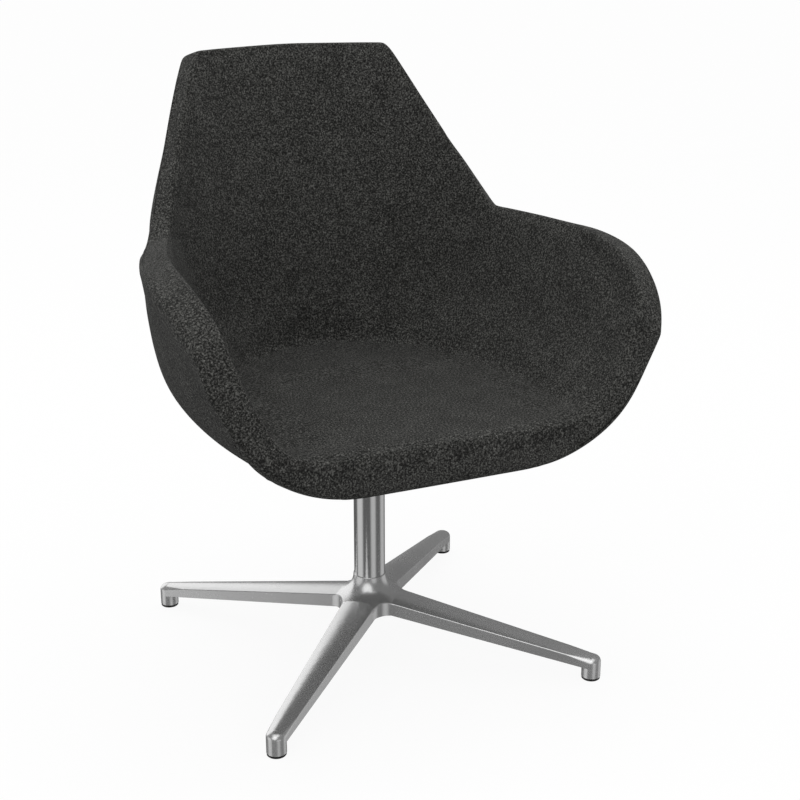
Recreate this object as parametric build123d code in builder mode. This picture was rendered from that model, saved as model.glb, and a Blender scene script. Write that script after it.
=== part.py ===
from build123d import *
import math
import os

# Swivel lounge chair with an upholstered tub shell on a four-star base.
# Millimetres. +Z is up, the floor is Z = 0, the swivel axis is the Z axis and the chair faces -Y.

# Base, measured from the floor and the swivel axis
FOOT_CIRCLE_R = 335.0
FOOT_R = 13.5
GLIDE_H = 4.0
ARM_ROOT_HALF = 25.0
ARM_ROOT_R = 40.0
ARM_CORNER_R = 26.0
ARM_TOP_AT_AXIS = 87.5
ARM_FALL = 0.155
ARM_DEPTH_ROOT = 23.0
ARM_DEPTH_FOOT = 16.0
ARM_CROWN = 3.4
ARM_EDGE_R = 1.5
ARM_WALL = 4.5
FOOT_CROWN = 4.0
FOOT_EDGE_R = 8.0
HUB_TOP_Z = 110.0
HUB_FLARE_TILT = 24.0
HUB_COLLAR = 1.2

# Column and swivel
COLUMN_R = 22.5
COLUMN_WALL = 3.5
COLUMN_BOTTOM_Z = 66.0
COLUMN_TOP_Z = 314.0
SPINDLE_R = 12.5
SPINDLE_RUN = 0.05
UPPER_BUSH_LENGTH = 32.0
LOWER_BUSH_Z = 124.0
LOWER_BUSH_LENGTH = 30.0
BUSH_FLANGE = 3.0
RACE_H = 2.5
THRUST_RING_H = 3.0
CLIP_H = 1.6
SEAT_FIT = 0.02

# Seat plate and its fixings
PLATE_SIZE = 168.0
PLATE_H = 6.0
PLATE_CORNER_R = 22.0
PLATE_BED = 0.4
SCREW_PITCH = 120.0
SCREW_R = 3.0
SCREW_HEAD_R = 6.5
SCREW_HEAD_H = 3.6
TEE_FLANGE_R = 10.0
TEE_FLANGE_H = 1.6
TEE_BARREL_R = 4.2
TEE_BED = 0.4

# Tub, inner face: seat, back line, arms and rim
SEAT_Z = 400.0
FRONT_Y = -254.0
SEAT_DEPTH = 53.0
BACK_FOOT_Y = 212.0
BACK_LEAN = 0.147
BACK_SWEEP = 0.00007
CREASE_R = 60.0
ARM_RIM_Z = 613.5
ARM_HALF_WIDTH = 293.5
ARM_WIDEST_Y = -130.0
ARM_PLAN_R = 600.0
NOSE_LENGTH = 175.0
NOSE_HEIGHT = 95.0
NOTCH_Y = 106.0
TOP_HALF_WIDTH = 149.5
TOP_CORNER_Y = 262.5
TOP_CORNER_Z = 843.0
TOP_ARCH = 1.5
TOP_CORNER_R = 26.0
TOP_BEVEL = 20.0
EDGE_BOW_X = 4.0
EDGE_BOW_Y = 6.5
RIM_BAND = 43.0

# Upholstery layers as shares of the wall thickness, from the inner face outwards
LAYER_GAP = 0.007
INNER_COVER = 0.05
FOAM_END = 0.55
SHELL_END = 0.75
OUTER_COVER_START = 0.95
BAND_CLOTH = 2.0
BAND_GAP = 0.8
PAD_SPLIT_X = 196.0

RACE_BOTTOM_Z = COLUMN_TOP_Z + BUSH_FLANGE
RING_BOTTOM_Z = RACE_BOTTOM_Z + RACE_H
UPPER_RACE_Z = RING_BOTTOM_Z + THRUST_RING_H
SEAT_HUB_Z = UPPER_RACE_Z + RACE_H
SEAT_BOTTOM_Z = SEAT_Z - SEAT_DEPTH
PLATE_BOTTOM_Z = SEAT_BOTTOM_Z + PLATE_BED - PLATE_H
BORE_R = COLUMN_R - COLUMN_WALL
BOLT_SPOTS = [(sx * SCREW_PITCH / 2, sy * SCREW_PITCH / 2) for sx in (-1, 1) for sy in (-1, 1)]
FOOT_ANGLES = (45.0, 135.0, 225.0, 315.0)


def arm_top(radius):
    """Height of the base arm's top face at a distance from the axis."""
    return ARM_TOP_AT_AXIS - ARM_FALL * radius


def nose_point(angle):
    """Rim point of the arm front, on a quarter ellipse from the vertical front edge to the level top."""
    turn = math.radians(angle)
    y = FRONT_Y + NOSE_LENGTH * (1 - math.cos(turn)) * math.copysign(1, turn)
    z = ARM_RIM_Z - NOSE_HEIGHT * (1 - math.sin(turn))
    return y, z


def arm_half_width(y):
    """Half width of the arms' inner rim in plan."""
    return ARM_HALF_WIDTH - (y - ARM_WIDEST_Y) ** 2 / (2 * ARM_PLAN_R)


def back_line(z):
    """Depth of the back's inner face on the centre line."""
    rise = z - SEAT_Z
    return BACK_FOOT_Y + BACK_LEAN * rise + BACK_SWEEP * rise ** 2


def spine_point(rim_y, rim_z, tilt):
    """Where the tilted section plane through a rim point meets the centre line of seat and back."""
    if tilt >= 90:
        return rim_y, SEAT_Z
    run = math.cos(math.radians(tilt))
    drop = math.sin(math.radians(tilt))
    near, far = 0.0, (rim_z - SEAT_Z) / drop
    if rim_y + far * run > back_line(SEAT_Z):
        for _ in range(60):
            middle = (near + far) / 2
            if rim_y + middle * run > back_line(rim_z - middle * drop):
                far = middle
            else:
                near = middle
    y, z = rim_y + far * run, rim_z - far * drop
    lean = math.atan(BACK_LEAN)
    centre_y = BACK_FOOT_Y + BACK_LEAN * CREASE_R - CREASE_R / math.cos(lean)
    centre_z = SEAT_Z + CREASE_R
    if y > centre_y and z < centre_z:
        along = (centre_y - rim_y) * run - (centre_z - rim_z) * drop
        off2 = (centre_y - rim_y) ** 2 + (centre_z - rim_z) ** 2 - along ** 2
        far = along + math.sqrt(CREASE_R ** 2 - off2)
        y, z = rim_y + far * run, rim_z - far * drop
    return y, z


class Section:
    """One cross-section of the tub wall: seat line, corner round and side wall, inside and outside."""

    def __init__(self, rim, tilt, inner, outer, band, dip, depth):
        """Place the section plane and its inner and outer half profiles.

        rim: inner rim point; tilt: plane angle over level; inner, outer: (wall angle, corner round share);
        band: rim thickness; dip: fall of the rim band below the section's cross direction; depth: thickness
        on the centre line.
        """
        spine_y, spine_z = spine_point(rim[1], rim[2], tilt)
        self.depth = depth
        self.reach = math.hypot(rim[1] - spine_y, rim[2] - spine_z)
        self.up = ((rim[1] - spine_y) / self.reach, (rim[2] - spine_z) / self.reach)
        self.origin = (0, spine_y, spine_z)
        fall = math.radians(dip)
        self.inner = self.half(rim[0], self.reach, 0.0, *inner)
        self.outer = self.half(
            rim[0] + band * math.cos(fall), self.reach - band * math.sin(fall), -depth, *outer
        )

    @staticmethod
    def half(rim_x, rim_w, base_w, wall_angle, corner):
        """Half profile as rim point, base level, wall angle and corner tangent length."""
        angle = math.radians(wall_angle)
        corner_x = rim_x - (rim_w - base_w) / math.tan(angle)
        wall = (rim_w - base_w) / math.sin(angle)
        return rim_x, rim_w, base_w, angle, corner * min(corner_x, wall)

    def plane(self):
        """Section plane with its upward axis from the centre line towards the rim."""
        return Plane(origin=self.origin, x_dir=(1, 0, 0), z_dir=(0, -self.up[1], self.up[0]))

    def points(self, share, inset):
        """Floor end, corner middle, corner end and rim of the half profile at a share of the thickness."""
        rim_x, rim_w, base_w, angle, tangent = [
            a + (b - a) * share for a, b in zip(self.inner, self.outer)
        ]
        corner_x = rim_x - (rim_w - base_w) / math.tan(angle)
        radius = tangent / math.tan(angle / 2)
        start = corner_x - tangent
        half_turn = angle / 2
        return (
            (start, base_w),
            (start + radius * math.sin(half_turn), base_w + radius * (1 - math.cos(half_turn))),
            (corner_x + tangent * math.cos(angle), base_w + tangent * math.sin(angle)),
            (rim_x - inset * math.cos(angle), rim_w - inset * math.sin(angle)),
        )


def flip(point):
    """Mirror a section point across the centre line."""
    return -point[0], point[1]


# Sections across the arm fronts: nose angle, inner and outer (wall angle, corner round), band dip
NOSE_SECTIONS = (
    (-18, (52.0, 0.12), (55.0, 0.62), 35.0),
    (0, (60.0, 0.25), (58.5, 0.60), 32.0),
    (22, (72.0, 0.45), (64.0, 0.56), 28.0),
    (45, (75.0, 0.36), (70.0, 0.55), 24.0),
    (68, (75.5, 0.30), (74.5, 0.52), 20.0),
    (90, (74.0, 0.30), (77.0, 0.50), 19.0),
)
# Sections fanning from the arms up the back: rim depth, tilt, inner, outer, band width, dip, centre depth
FAN_SECTIONS = (
    (-36.0, 76.5, (71.8, 0.36), (78.0, 0.50), 42.0, 20.0, 54.5),
    (6.0, 64.5, (68.8, 0.54), (76.2, 0.57), 41.2, 24.0, 57.0),
    (42.0, 53.5, (65.8, 0.78), (73.8, 0.67), 40.0, 31.0, 54.0),
    (75.0, 42.5, (63.0, 0.93), (70.0, 0.79), 37.5, 39.5, 49.5),
    (NOTCH_Y, 32.5, (61.5, 0.95), (65.0, 0.86), 35.0, 48.0, 48.0),
    (NOTCH_Y + 30.0, 23.5, (59.5, 0.95), (61.0, 0.90), 33.0, 56.0, 46.5),
)
# Sections of the upper back: share of the way from notch to top corner, then as above
BACK_SECTIONS = (
    (-0.30, 36.5, (70.0, 0.95), (76.0, 0.82), 35.0, 38.0, 49.0),
    (0.00, 32.5, (61.5, 0.95), (65.0, 0.86), 35.0, 48.0, 48.0),
    (0.30, 28.5, (51.8, 0.95), (53.6, 0.89), 35.5, 58.5, 46.4),
    (0.60, 26.0, (41.0, 0.94), (42.8, 0.90), 36.2, 64.0, 44.6),
    (0.90, 23.0, (28.5, 0.93), (30.8, 0.90), 36.8, 66.0, 42.6),
    (1.20, 21.0, (18.0, 0.92), (20.0, 0.90), 36.4, 66.0, 40.8),
)
CREASE_INDEX = len(NOSE_SECTIONS) + 2
NOTCH_INDEX = len(NOSE_SECTIONS) + 4

arm_sections = []
for nose_angle, inner_wall, outer_wall, band_dip in NOSE_SECTIONS:
    nose_y, nose_z = nose_point(nose_angle)
    nose_rim = (arm_half_width(nose_y), nose_y, nose_z)
    arm_sections.append(Section(nose_rim, 90.0, inner_wall, outer_wall, RIM_BAND, band_dip, SEAT_DEPTH))
for fan_y, fan_tilt, inner_wall, outer_wall, band, band_dip, centre in FAN_SECTIONS:
    fan_rim = (arm_half_width(fan_y), fan_y, ARM_RIM_Z)
    arm_sections.append(Section(fan_rim, fan_tilt, inner_wall, outer_wall, band, band_dip, centre))

back_sections = []
for share, back_tilt, inner_wall, outer_wall, band, band_dip, centre in BACK_SECTIONS:
    bow = 4 * share * (1 - share)
    notch_x = arm_half_width(NOTCH_Y)
    back_rim = (
        notch_x + (TOP_HALF_WIDTH - notch_x) * share + EDGE_BOW_X * bow,
        NOTCH_Y + (TOP_CORNER_Y - NOTCH_Y) * share + EDGE_BOW_Y * bow,
        ARM_RIM_Z + (TOP_CORNER_Z - ARM_RIM_Z) * share,
    )
    back_sections.append(Section(back_rim, back_tilt, inner_wall, outer_wall, band, band_dip, centre))


def wall_loft(sections, share_in, share_out, inset):
    """Solid strip of the tub wall between two shares of its thickness."""
    with BuildPart() as strip:
        for section in sections:
            inside = section.points(share_in, inset)
            outside = section.points(share_out, inset)
            with BuildSketch(section.plane()):
                with BuildLine():
                    Line(flip(inside[3]), flip(inside[2]))
                    ThreePointArc(flip(inside[2]), flip(inside[1]), flip(inside[0]))
                    Line(flip(inside[0]), inside[0])
                    ThreePointArc(inside[0], inside[1], inside[2])
                    Line(inside[2], inside[3])
                    Line(inside[3], outside[3])
                    Line(outside[3], outside[2])
                    ThreePointArc(outside[2], outside[1], outside[0])
                    Line(outside[0], flip(outside[0]))
                    ThreePointArc(flip(outside[0]), flip(outside[1]), flip(outside[2]))
                    Line(flip(outside[2]), flip(outside[3]))
                    Line(flip(outside[3]), flip(inside[3]))
                make_face()
        loft()
    return strip.part


VIEW_Y = TOP_CORNER_Y - 70.0
BEVEL = math.radians(TOP_BEVEL)
BACK_VIEW = Plane(origin=(0, VIEW_Y, 0), x_dir=(1, 0, 0), z_dir=(0, -1, 0))
CORNER_RUN = (0.43, 0.90, -0.36)


def seen(x, y, z):
    """Front-view place of a point on the right upper edge, carried along the rim band's direction."""
    back = (y - VIEW_Y) / CORNER_RUN[1]
    return x - back * CORNER_RUN[0], z - back * CORNER_RUN[2]


def trim_top(strip, drop):
    """Cut the back's top edge along its arch and round the two upper corners."""
    slope = math.tan(BEVEL)
    corner_z = TOP_CORNER_Z + slope * (TOP_CORNER_Y - VIEW_Y) - drop
    centre_z = TOP_CORNER_Z + TOP_ARCH + slope * (back_line(TOP_CORNER_Z) - VIEW_Y) - drop
    side_x = TOP_HALF_WIDTH + 90.0
    side_z = centre_z - (centre_z - corner_z) * (side_x / TOP_HALF_WIDTH) ** 2
    notch_x = arm_half_width(NOTCH_Y)
    corner = Vector(*seen(TOP_HALF_WIDTH, TOP_CORNER_Y, TOP_CORNER_Z))
    lower = Vector(
        *seen(
            notch_x + (TOP_HALF_WIDTH - notch_x) * 0.8 + EDGE_BOW_X * 0.64,
            NOTCH_Y + (TOP_CORNER_Y - NOTCH_Y) * 0.8 + EDGE_BOW_Y * 0.64,
            ARM_RIM_Z + (TOP_CORNER_Z - ARM_RIM_Z) * 0.8,
        )
    )
    side = (lower - corner).normalized()
    inward = Vector(-1, 2 * (centre_z - corner_z) / TOP_HALF_WIDTH).normalized()
    half_angle = math.radians(side.get_angle(inward)) / 2
    tip = corner + (side + inward).normalized() * (drop / math.sin(half_angle))
    radius = TOP_CORNER_R - drop
    tangent = radius / math.tan(half_angle)
    middle = tip + (side + inward).normalized() * (radius / math.sin(half_angle) - 0.35)
    side_end = tip + side * tangent
    top_end = tip + inward * tangent
    with BuildPart() as trimmed:
        add(strip)
        with BuildSketch(BACK_VIEW):
            with BuildLine():
                ThreePointArc((-side_x, side_z), (0, centre_z), (side_x, side_z))
                Polyline(
                    (side_x, side_z),
                    (side_x, centre_z + 120),
                    (-side_x, centre_z + 120),
                    (-side_x, side_z),
                )
            make_face()
        extrude(amount=200, dir=(0, math.cos(BEVEL), -math.sin(BEVEL)), mode=Mode.SUBTRACT)
        for hand in (-1, 1):
            with BuildSketch(BACK_VIEW):
                Polygon(
                    (hand * side_end.X, side_end.Y),
                    (hand * (side_end.X + 60), side_end.Y),
                    (hand * (tip.X + 60), tip.Y + 60),
                    (hand * top_end.X, tip.Y + 60),
                    (hand * top_end.X, top_end.Y),
                    align=None,
                )
                with Locations((hand * middle.X, middle.Y)):
                    Circle(radius, mode=Mode.SUBTRACT)
            extrude(
                amount=200,
                dir=(hand * CORNER_RUN[0], CORNER_RUN[1], CORNER_RUN[2]),
                mode=Mode.SUBTRACT,
            )
    return trimmed.part


CORE_INSET = BAND_CLOTH + BAND_GAP
PAST = 0.06


def layer_body(share_in, share_out, inset):
    """One layer of the whole tub wall between two shares of its thickness, set in from the rim."""
    notch = arm_sections[NOTCH_INDEX].plane()
    low_strip = wall_loft(arm_sections, share_in, share_out, inset)
    high_strip = trim_top(wall_loft(back_sections, share_in, share_out, inset), inset)
    with BuildPart() as low:
        add(low_strip)
        split(bisect_by=notch, keep=Keep.TOP)
        split(bisect_by=Plane.XZ.offset(-FRONT_Y - inset), keep=Keep.BOTTOM)
    with BuildPart() as high:
        add(high_strip)
        split(bisect_by=notch, keep=Keep.BOTTOM)
    return low.part, high.part


CREASE = arm_sections[CREASE_INDEX].plane()
BOLT_PLANE = Plane.XY.offset(PLATE_BOTTOM_Z)
SHELL_TOP_Z = SEAT_Z - SEAT_DEPTH * (FOAM_END + LAYER_GAP)
TEE_SEAT_Z = SHELL_TOP_Z - TEE_BED
os.makedirs("parts", exist_ok=True)

# Cast four-star base with flared hub, crowned arms and domed foot bosses
ARM_END_R = FOOT_CIRCLE_R + FOOT_R
ARM_KNEE_R = FOOT_CIRCLE_R - 2.4 * FOOT_R
HUB_R = COLUMN_R + HUB_COLLAR
HUB_BOTTOM_Z = arm_top(ARM_ROOT_R) - ARM_DEPTH_ROOT
FOOT_TOP_Z = arm_top(FOOT_CIRCLE_R)
FOOT_UNDER_Z = arm_top(ARM_END_R) - ARM_DEPTH_FOOT
AXIS_HALF = ARM_ROOT_HALF + (ARM_ROOT_HALF - FOOT_R) * ARM_ROOT_R / (FOOT_CIRCLE_R - ARM_ROOT_R)
FLARE_SIN = math.sin(math.radians(HUB_FLARE_TILT))
FLARE_COS = math.cos(math.radians(HUB_FLARE_TILT))
FLARE_R = (HUB_TOP_Z - arm_top(HUB_R)) / (FLARE_COS - ARM_FALL * (1 - FLARE_SIN))
FLARE_END_R = HUB_R + FLARE_R * (1 - FLARE_SIN)
FLARE_EDGE_R = math.hypot(AXIS_HALF + ARM_CORNER_R, AXIS_HALF) + ARM_WALL
POCKET_ROOT_R = FLARE_EDGE_R + 2 * ARM_WALL

# Stations along a base arm: distance from the axis, crown of the top face, round of its edges
ARM_STATIONS = (
    (0.5 * HUB_R, ARM_CROWN, ARM_EDGE_R),
    (ARM_KNEE_R, ARM_CROWN, ARM_EDGE_R),
    (FOOT_CIRCLE_R, FOOT_CROWN, FOOT_EDGE_R),
)


def arm_under(radius):
    """Height of the base arm's underside at a distance from the axis."""
    share = (radius - ARM_ROOT_R) / (ARM_END_R - ARM_ROOT_R)
    return HUB_BOTTOM_Z + share * (FOOT_UNDER_Z - HUB_BOTTOM_Z)


def arm_half(radius):
    """Half the base arm's width at a distance from the axis."""
    return AXIS_HALF + (FOOT_R - AXIS_HALF) * radius / FOOT_CIRCLE_R


def flare_top(radius):
    """Height of the hub's flare outside its curved part."""
    return arm_top(FLARE_END_R) - (radius - FLARE_END_R) * FLARE_SIN / FLARE_COS


def on_flare_rim(point):
    """Whether a point lies on the edge of the flare in a corner between two arms."""
    radius = math.hypot(point.X, point.Y)
    return FLARE_END_R + 1 < radius < FLARE_EDGE_R - 0.5 and abs(point.Z - flare_top(radius)) < 0.05


with BuildPart() as base_arm:
    for near, far in zip(ARM_STATIONS, ARM_STATIONS[1:]):
        for reach, crown, edge_r in (near, far):
            with BuildSketch(Plane((reach, 0, 0), (0, 1, 0), (1, 0, 0))) as arm_section:
                with BuildLine():
                    Polyline(
                        (-arm_half(reach), arm_top(reach) - crown),
                        (-arm_half(reach), arm_under(reach)),
                        (arm_half(reach), arm_under(reach)),
                        (arm_half(reach), arm_top(reach) - crown),
                    )
                    ThreePointArc(
                        (arm_half(reach), arm_top(reach) - crown),
                        (0, arm_top(reach)),
                        (-arm_half(reach), arm_top(reach) - crown),
                    )
                make_face()
                fillet(arm_section.vertices().group_by(Axis.Y)[-1], edge_r)
        loft()
    with BuildSketch(Plane.XZ) as foot_section:
        with BuildLine():
            Polyline(
                (FOOT_CIRCLE_R, FOOT_TOP_Z),
                (FOOT_CIRCLE_R, GLIDE_H),
                (ARM_END_R, GLIDE_H),
                (ARM_END_R, FOOT_TOP_Z - FOOT_CROWN),
            )
            TangentArc((FOOT_CIRCLE_R, FOOT_TOP_Z), (ARM_END_R, FOOT_TOP_Z - FOOT_CROWN), tangent=(1, 0))
        make_face()
        foot_rim = foot_section.vertices().filter_by(lambda v: v.X > ARM_END_R - 1 and v.Y > GLIDE_H + 1)
        fillet(foot_rim, FOOT_EDGE_R)
    revolve(axis=Axis((FOOT_CIRCLE_R, 0, 0), (0, 0, 1)))

with BuildPart() as arm_pocket:
    with BuildSketch(Plane.XZ):
        Polygon(
            (POCKET_ROOT_R, 0),
            (ARM_KNEE_R, 0),
            (ARM_KNEE_R, arm_top(ARM_KNEE_R) - ARM_WALL),
            (POCKET_ROOT_R, arm_top(POCKET_ROOT_R) - ARM_WALL),
            align=None,
        )
    extrude(amount=ARM_ROOT_HALF, both=True)
    with BuildSketch():
        Polygon(
            (POCKET_ROOT_R, arm_half(POCKET_ROOT_R) - ARM_WALL),
            (ARM_KNEE_R, arm_half(ARM_KNEE_R) - ARM_WALL),
            (ARM_KNEE_R, ARM_WALL - arm_half(ARM_KNEE_R)),
            (POCKET_ROOT_R, ARM_WALL - arm_half(POCKET_ROOT_R)),
            align=None,
        )
    extrude(amount=ARM_TOP_AT_AXIS, mode=Mode.INTERSECT)

with BuildPart() as flared_hub:
    with BuildSketch() as star_plan:
        with PolarLocations(0, 4, start_angle=FOOT_ANGLES[0]):
            Polygon(
                (0, AXIS_HALF),
                (FOOT_CIRCLE_R, FOOT_R),
                (FOOT_CIRCLE_R, -FOOT_R),
                (0, -AXIS_HALF),
                align=None,
            )
        inner_corners = star_plan.vertices().filter_by(lambda v: math.hypot(v.X, v.Y) < 2 * ARM_ROOT_R)
        fillet(inner_corners, ARM_CORNER_R)
    extrude(amount=HUB_TOP_Z)
    with BuildSketch(Plane.XZ):
        with BuildLine():
            Polyline(
                (HUB_R, HUB_TOP_Z),
                (0, HUB_TOP_Z),
                (0, HUB_BOTTOM_Z),
                (FLARE_EDGE_R, HUB_BOTTOM_Z),
                (FLARE_EDGE_R, flare_top(FLARE_EDGE_R)),
                (FLARE_END_R, arm_top(FLARE_END_R)),
            )
            RadiusArc((FLARE_END_R, arm_top(FLARE_END_R)), (HUB_R, HUB_TOP_Z), FLARE_R)
        make_face()
    revolve(axis=Axis.Z, mode=Mode.INTERSECT)
    rim_edges = flared_hub.edges().filter_by(lambda e: on_flare_rim(e.position_at(0.5)))
    fillet(rim_edges, ARM_EDGE_R)

with BuildPart() as star_base:
    add(flared_hub.part)
    with PolarLocations(0, 4, start_angle=FOOT_ANGLES[0]):
        add(base_arm.part)
    with PolarLocations(0, 4, start_angle=FOOT_ANGLES[0]):
        add(arm_pocket.part, mode=Mode.SUBTRACT)
    with BuildSketch(Plane.XY.offset(HUB_TOP_Z)):
        Circle(COLUMN_R + SEAT_FIT)
    extrude(amount=COLUMN_BOTTOM_Z - HUB_TOP_Z, mode=Mode.SUBTRACT)
    with BuildSketch(Plane.XY.offset(HUB_TOP_Z)):
        Circle(BORE_R - 1)
    extrude(amount=HUB_BOTTOM_Z - HUB_TOP_Z, mode=Mode.SUBTRACT)
    with BuildSketch(Plane.XY.offset(GLIDE_H)):
        with PolarLocations(FOOT_CIRCLE_R, 4, start_angle=FOOT_ANGLES[0]):
            Circle(FOOT_R * 0.3 + SEAT_FIT)
    extrude(amount=FOOT_R, mode=Mode.SUBTRACT)
star_base.part.label = "star_base"
export_step(star_base.part, "parts/star_base.step")

# Push-in glides under the feet
with BuildPart() as glide:
    with BuildSketch(Plane.XZ):
        Polygon(
            (0, 0),
            (FOOT_R - 1.3, 0),
            (FOOT_R - 0.5, 0.8),
            (FOOT_R - 0.5, GLIDE_H),
            (FOOT_R * 0.3, GLIDE_H),
            (FOOT_R * 0.3, GLIDE_H + FOOT_R - 1.5),
            (0, GLIDE_H + FOOT_R - 1.5),
            align=None,
        )
    revolve(axis=Axis.Z)
for number, foot_angle in enumerate(FOOT_ANGLES, 1):
    turn = math.radians(foot_angle)
    with BuildPart() as foot_glide:
        with Locations((FOOT_CIRCLE_R * math.cos(turn), FOOT_CIRCLE_R * math.sin(turn), 0)):
            add(glide.part)
    foot_glide.part.label = f"glide_{number}"
    export_step(foot_glide.part, f"parts/glide_{number}.step")

# Plug closing the hub from below
with BuildPart() as hub_plug:
    with BuildSketch(Plane.XZ):
        Polygon(
            (0, HUB_BOTTOM_Z - 2),
            (BORE_R + 1.5, HUB_BOTTOM_Z - 2),
            (BORE_R + 2.5, HUB_BOTTOM_Z),
            (BORE_R - 1 - SEAT_FIT, HUB_BOTTOM_Z),
            (BORE_R - 1 - SEAT_FIT, HUB_BOTTOM_Z + 6),
            (0, HUB_BOTTOM_Z + 6),
            align=None,
        )
    revolve(axis=Axis.Z)
hub_plug.part.label = "hub_plug"
export_step(hub_plug.part, "parts/hub_plug.step")

# Column tube pressed into the hub
with BuildPart() as column_tube:
    with BuildSketch(Plane.XY.offset(COLUMN_BOTTOM_Z)):
        Circle(COLUMN_R)
        Circle(BORE_R, mode=Mode.SUBTRACT)
    extrude(amount=COLUMN_TOP_Z - COLUMN_BOTTOM_Z)
column_tube.part.label = "column_tube"
export_step(column_tube.part, "parts/column_tube.step")

# Plain bearings and thrust stack
with BuildPart() as upper_bush:
    with BuildSketch(Plane.XY.offset(COLUMN_TOP_Z - UPPER_BUSH_LENGTH)):
        Circle(BORE_R - SEAT_FIT)
        Circle(SPINDLE_R + SPINDLE_RUN, mode=Mode.SUBTRACT)
    extrude(amount=UPPER_BUSH_LENGTH)
    with BuildSketch(Plane.XY.offset(COLUMN_TOP_Z)):
        Circle(COLUMN_R - 0.5)
        Circle(SPINDLE_R + SPINDLE_RUN, mode=Mode.SUBTRACT)
    extrude(amount=BUSH_FLANGE)
upper_bush.part.label = "upper_bush"
export_step(upper_bush.part, "parts/upper_bush.step")

with BuildPart() as lower_bush:
    with BuildSketch(Plane.XY.offset(LOWER_BUSH_Z)):
        Circle(BORE_R - SEAT_FIT)
        Circle(SPINDLE_R + SPINDLE_RUN, mode=Mode.SUBTRACT)
    extrude(amount=LOWER_BUSH_LENGTH)
lower_bush.part.label = "lower_bush"
export_step(lower_bush.part, "parts/lower_bush.step")

with BuildPart() as lower_race:
    with BuildSketch(Plane.XY.offset(RACE_BOTTOM_Z)):
        Circle(COLUMN_R - 1.0)
        Circle(SPINDLE_R + 0.5, mode=Mode.SUBTRACT)
    extrude(amount=RACE_H)
lower_race.part.label = "lower_race"
export_step(lower_race.part, "parts/lower_race.step")

with BuildPart() as thrust_ring:
    with BuildSketch(Plane.XY.offset(RING_BOTTOM_Z)):
        Circle(COLUMN_R - 1.5)
        Circle(SPINDLE_R + 1.0, mode=Mode.SUBTRACT)
    extrude(amount=THRUST_RING_H)
thrust_ring.part.label = "thrust_ring"
export_step(thrust_ring.part, "parts/thrust_ring.step")

with BuildPart() as upper_race:
    with BuildSketch(Plane.XY.offset(UPPER_RACE_Z)):
        Circle(COLUMN_R - 1.0)
        Circle(SPINDLE_R + SEAT_FIT, mode=Mode.SUBTRACT)
    extrude(amount=RACE_H)
upper_race.part.label = "upper_race"
export_step(upper_race.part, "parts/upper_race.step")

# Turning spindle, its keeper washer and clip, and the welded hub under the seat plate
CLIP_Z = LOWER_BUSH_Z - 3.4 - CLIP_H
with BuildPart() as spindle:
    with BuildSketch(Plane.XY.offset(CLIP_Z - 12)):
        Circle(SPINDLE_R)
    extrude(amount=SEAT_BOTTOM_Z - CLIP_Z + 12)
    with BuildSketch(Plane.XY.offset(CLIP_Z)):
        Circle(SPINDLE_R + 1)
        Circle(SPINDLE_R - 1.2, mode=Mode.SUBTRACT)
    extrude(amount=CLIP_H, mode=Mode.SUBTRACT)
    chamfer(spindle.faces().sort_by(Axis.Z)[0].edges(), 1.5)
spindle.part.label = "spindle"
export_step(spindle.part, "parts/spindle.step")

with BuildPart() as keeper_clip:
    with BuildSketch(Plane.XY.offset(CLIP_Z)):
        Circle(SPINDLE_R + 3.5)
        Circle(SPINDLE_R - 1.2 + SEAT_FIT, mode=Mode.SUBTRACT)
        with Locations((0, -SPINDLE_R - 2)):
            Rectangle(5, 12, mode=Mode.SUBTRACT)
    extrude(amount=CLIP_H)
keeper_clip.part.label = "keeper_clip"
export_step(keeper_clip.part, "parts/keeper_clip.step")

with BuildPart() as keeper_washer:
    with BuildSketch(Plane.XY.offset(CLIP_Z + CLIP_H)):
        Circle(SPINDLE_R + 5.0)
        Circle(SPINDLE_R + SEAT_FIT, mode=Mode.SUBTRACT)
    extrude(amount=3.0)
keeper_washer.part.label = "keeper_washer"
export_step(keeper_washer.part, "parts/keeper_washer.step")

with BuildPart() as seat_hub:
    with BuildSketch(Plane.XY.offset(SEAT_HUB_Z)):
        Circle(COLUMN_R + 5.5)
        Circle(SPINDLE_R + SEAT_FIT, mode=Mode.SUBTRACT)
    extrude(amount=PLATE_BOTTOM_Z - SEAT_HUB_Z)
    chamfer(seat_hub.faces().sort_by(Axis.Z)[0].outer_wire().edges(), 2.0)
seat_hub.part.label = "seat_hub"
export_step(seat_hub.part, "parts/seat_hub.step")

# Seat plate with four flanged screws into tee nuts
with BuildPart() as seat_plate:
    with BuildSketch(BOLT_PLANE):
        RectangleRounded(PLATE_SIZE, PLATE_SIZE, PLATE_CORNER_R)
        Circle(SPINDLE_R + SEAT_FIT, mode=Mode.SUBTRACT)
        with Locations(*BOLT_SPOTS):
            Circle(SCREW_R + 0.3, mode=Mode.SUBTRACT)
    extrude(amount=PLATE_H)
seat_plate.part.label = "seat_plate"
export_step(seat_plate.part, "parts/seat_plate.step")

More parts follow.
